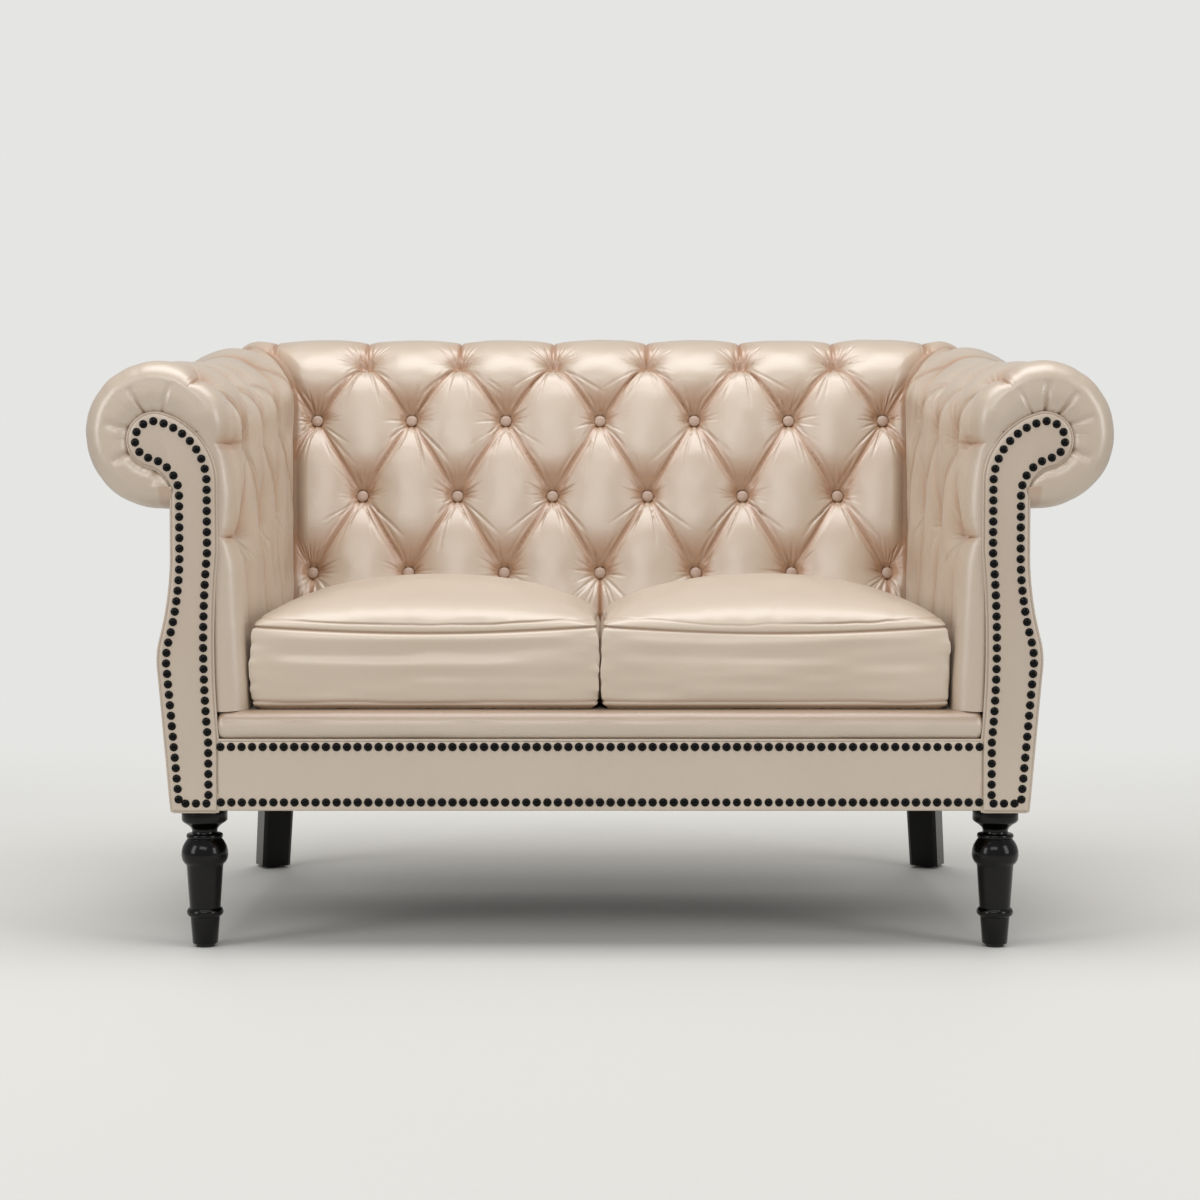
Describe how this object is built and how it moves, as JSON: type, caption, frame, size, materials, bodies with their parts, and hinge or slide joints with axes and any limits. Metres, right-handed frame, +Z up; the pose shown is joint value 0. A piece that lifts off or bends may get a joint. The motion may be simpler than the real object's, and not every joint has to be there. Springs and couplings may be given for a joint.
{
  "type": "tufted sofa",
  "caption": "Two-seat scroll-arm settee with a deep-buttoned back and arms, loose crowned seat cushions, nail-trimmed facings and apron, turned front legs and raked rear legs.",
  "frame": {"origin": "on the floor, below the middle of the overall box", "axes": "+X along the seat to the sitter's left, +Y to the back, +Z up; the front faces -Y"},
  "size_m": [1.4476, 0.8578, 0.921],
  "materials": {
    "tufted_leather": "pearl satin",
    "cushion_leather": "pearl satin",
    "smooth_leather": "pearl satin",
    "button_leather": "pearl satin",
    "black_nail": "gloss",
    "black_lacquer": "high gloss lacquer",
    "frame_timber": "planed, unfinished",
    "filling": "matt",
    "lining_cloth": "matt",
    "steel": "drawn",
    "glide_plastic": "matt"
  },
  "bodies": {
    "sofa_frame": {"front_seat_rail": "frame_timber", "rear_seat_rail": "frame_timber", "centre_stretcher": "frame_timber", "side_seat_rail_left": "frame_timber", "side_seat_rail_right": "frame_timber", "front_corner_block_left": "frame_timber", "front_corner_block_right": "frame_timber", "rear_corner_block_left": "frame_timber", "rear_corner_block_right": "frame_timber", "arm_stump_left": "frame_timber", "arm_stump_right": "frame_timber", "arm_facing_left": "smooth_leather", "arm_facing_right": "smooth_leather", "arm_rear_post_left": "frame_timber", "arm_rear_post_right": "frame_timber", "arm_low_rail_left": "frame_timber", "arm_low_rail_right": "frame_timber", "front_leg_left": "black_lacquer", "front_leg_right": "black_lacquer", "rear_leg_left": "black_lacquer", "rear_leg_right": "black_lacquer", "leg_bolts": "steel", "foot_glides": "glide_plastic", "dust_cover": "lining_cloth", "front_apron": "smooth_leather", "seat_lip": "smooth_leather", "seat_hessian": "lining_cloth", "seat_deck_pad": "filling", "seat_springs": "steel", "spring_clips": "steel", "inside_back_pad": "tufted_leather", "inside_arm_pad_left": "tufted_leather", "inside_arm_pad_right": "tufted_leather", "arm_scroll_former_left": "frame_timber", "arm_scroll_former_right": "frame_timber", "back_scroll_former": "frame_timber", "back_rib_outer_left": "frame_timber", "back_rib_outer_right": "frame_timber", "back_rib_inner_left": "frame_timber", "back_rib_inner_right": "frame_timber", "back_webbing": "lining_cloth", "arm_webbing_left": "lining_cloth", "arm_webbing_right": "lining_cloth", "outside_arm_panel_left": "smooth_leather", "outside_arm_panel_right": "smooth_leather", "outside_back_panel": "smooth_leather", "back_buttons": "button_leather", "arm_buttons_left": "button_leather", "arm_buttons_right": "button_leather", "apron_nails": "black_nail", "facing_nails_left": "black_nail", "facing_nails_right": "black_nail"},
    "seat_cushion_left": {"seat_cushion_cover_left": "cushion_leather", "seat_cushion_core_left": "filling"},
    "seat_cushion_right": {"seat_cushion_cover_right": "cushion_leather", "seat_cushion_core_right": "filling"}
  },
  "joints": [
    {"name": "cushion_lift_left", "type": "slide", "parent": "sofa_frame", "child": "seat_cushion_left", "axis": [0, 0, 1], "range_m": [0, 0.6]},
    {"name": "cushion_lift_right", "type": "slide", "parent": "sofa_frame", "child": "seat_cushion_right", "axis": [0, 0, 1], "range_m": [0, 0.6]}
  ]
}
